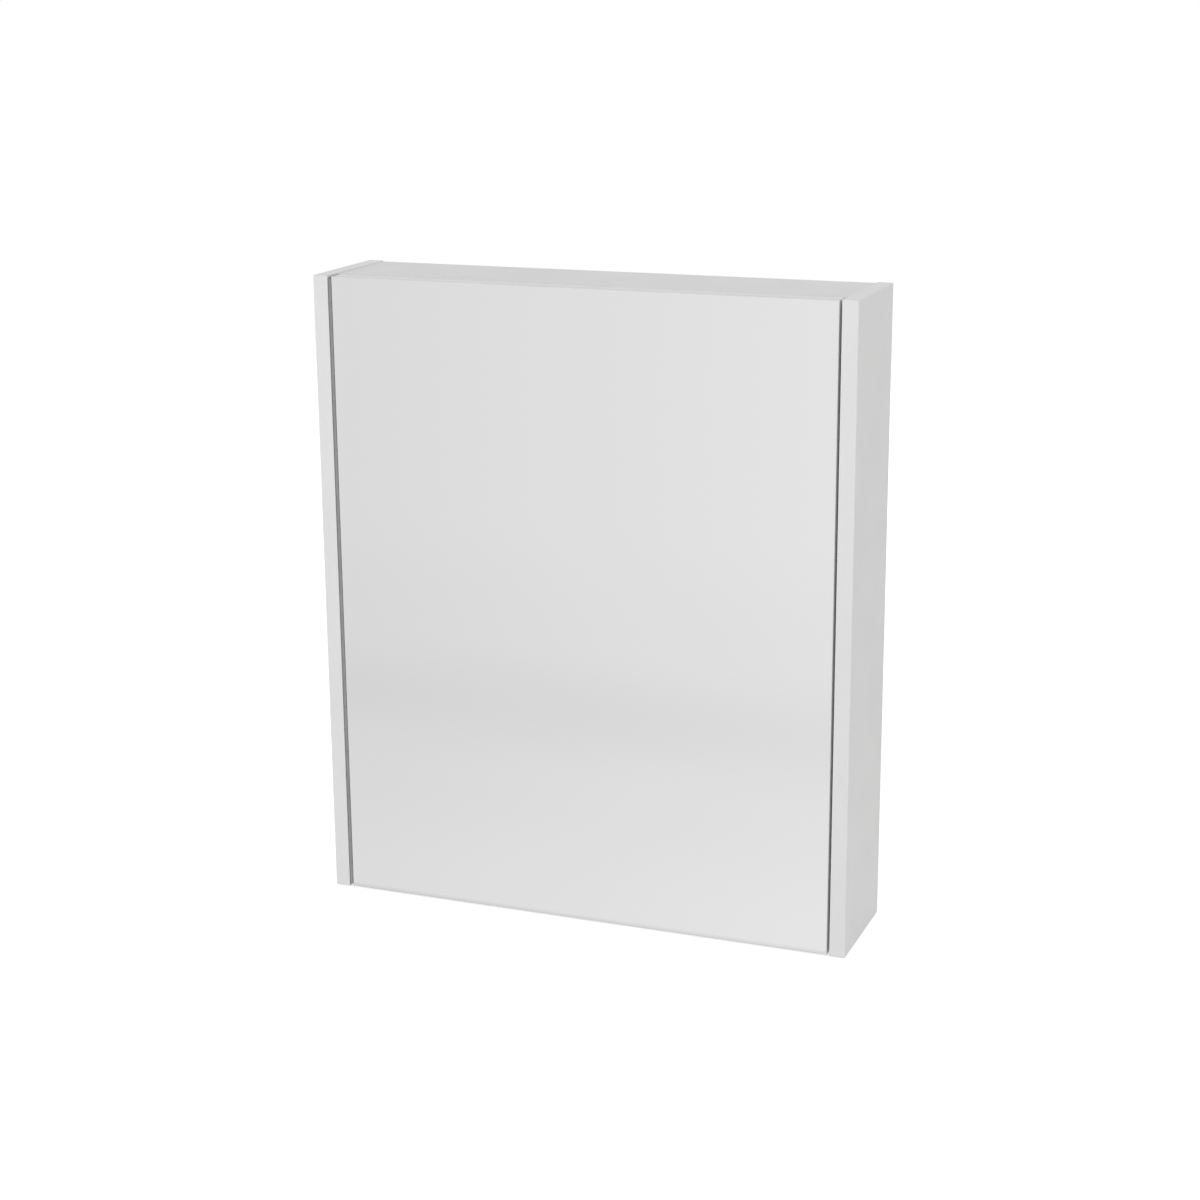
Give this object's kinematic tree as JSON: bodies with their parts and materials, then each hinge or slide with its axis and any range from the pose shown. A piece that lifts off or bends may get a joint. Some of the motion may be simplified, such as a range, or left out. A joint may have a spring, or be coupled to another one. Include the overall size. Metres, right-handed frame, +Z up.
{
  "type": "bathroom mirror cabinet",
  "caption": "Wall-hung white bathroom cabinet whose full-height frameless mirror door sits flush between the side panels and swings open on a long hinge over glass shelves.",
  "frame": {"origin": "on the wall plane, midway between the two wall-screw holes of the hanging rail", "axes": "+X to the viewer's right, +Y back into the wall, +Z up; the mirror faces -Y"},
  "size_m": [0.56, 0.1253, 0.65],
  "materials": {
    "white_board": "white melamine on particle board, satin",
    "white_edge": "white edge strip, satin",
    "back_board": "white lacquered hardboard",
    "mirror": "silvered float glass with ground edges",
    "shelf_glass": "clear float glass with polished edges",
    "foam_tape": "white foam adhesive tape",
    "hinge_steel": "steel, dark satin plate",
    "pin_steel": "drawn steel wire",
    "screw_steel": "bright zinc plate",
    "plate_steel": "rolled steel, zinc plate",
    "magnet": "ferrite, matt",
    "white_plastic": "moulded white plastic",
    "cam_zinc": "die-cast zinc",
    "beech": "beech, unfinished",
    "nickel": "polished nickel plate",
    "clear_rubber": "clear silicone"
  },
  "bodies": {
    "carcass": {"left_side_panel": "white_board", "right_side_panel": "white_board", "top_panel": "white_board", "bottom_panel": "white_board", "hanging_rail": "white_board", "lower_rail": "white_board", "left_edge_bands": "white_edge", "right_edge_bands": "white_edge", "top_edge_band": "white_edge", "bottom_edge_band": "white_edge", "back_panel": "back_board", "upper_shelf": "shelf_glass", "lower_shelf": "shelf_glass", "hinge_side_leaf": "hinge_steel", "hinge_pin": "pin_steel", "hinge_side_screws": "screw_steel", "catch_screws": "screw_steel", "upper_catch_poles": "plate_steel", "lower_catch_poles": "plate_steel", "upper_catch_magnet": "magnet", "lower_catch_magnet": "magnet", "upper_catch_housing": "white_plastic", "lower_catch_housing": "white_plastic", "cam_caps": "white_plastic", "cam_locks": "cam_zinc", "cam_bolts": "cam_zinc", "dowels": "beech", "upper_shelf_supports": "nickel", "lower_shelf_supports": "nickel", "upper_shelf_pads": "clear_rubber", "lower_shelf_pads": "clear_rubber"},
    "door": {"door_panel": "white_board", "door_edge_bands": "white_edge", "mirror_glass": "mirror", "mirror_tape": "foam_tape", "door_bumpers": "clear_rubber", "hinge_door_leaf": "hinge_steel", "hinge_door_screws": "screw_steel", "upper_strike_plate": "plate_steel", "lower_strike_plate": "plate_steel", "strike_screws": "screw_steel"}
  },
  "joints": [
    {"name": "door_swing", "type": "hinge", "parent": "carcass", "child": "door", "pos_m": [-0.262, -0.1235, -0.272], "axis": [0, 0, -1], "range_deg": [0, 100]}
  ]
}
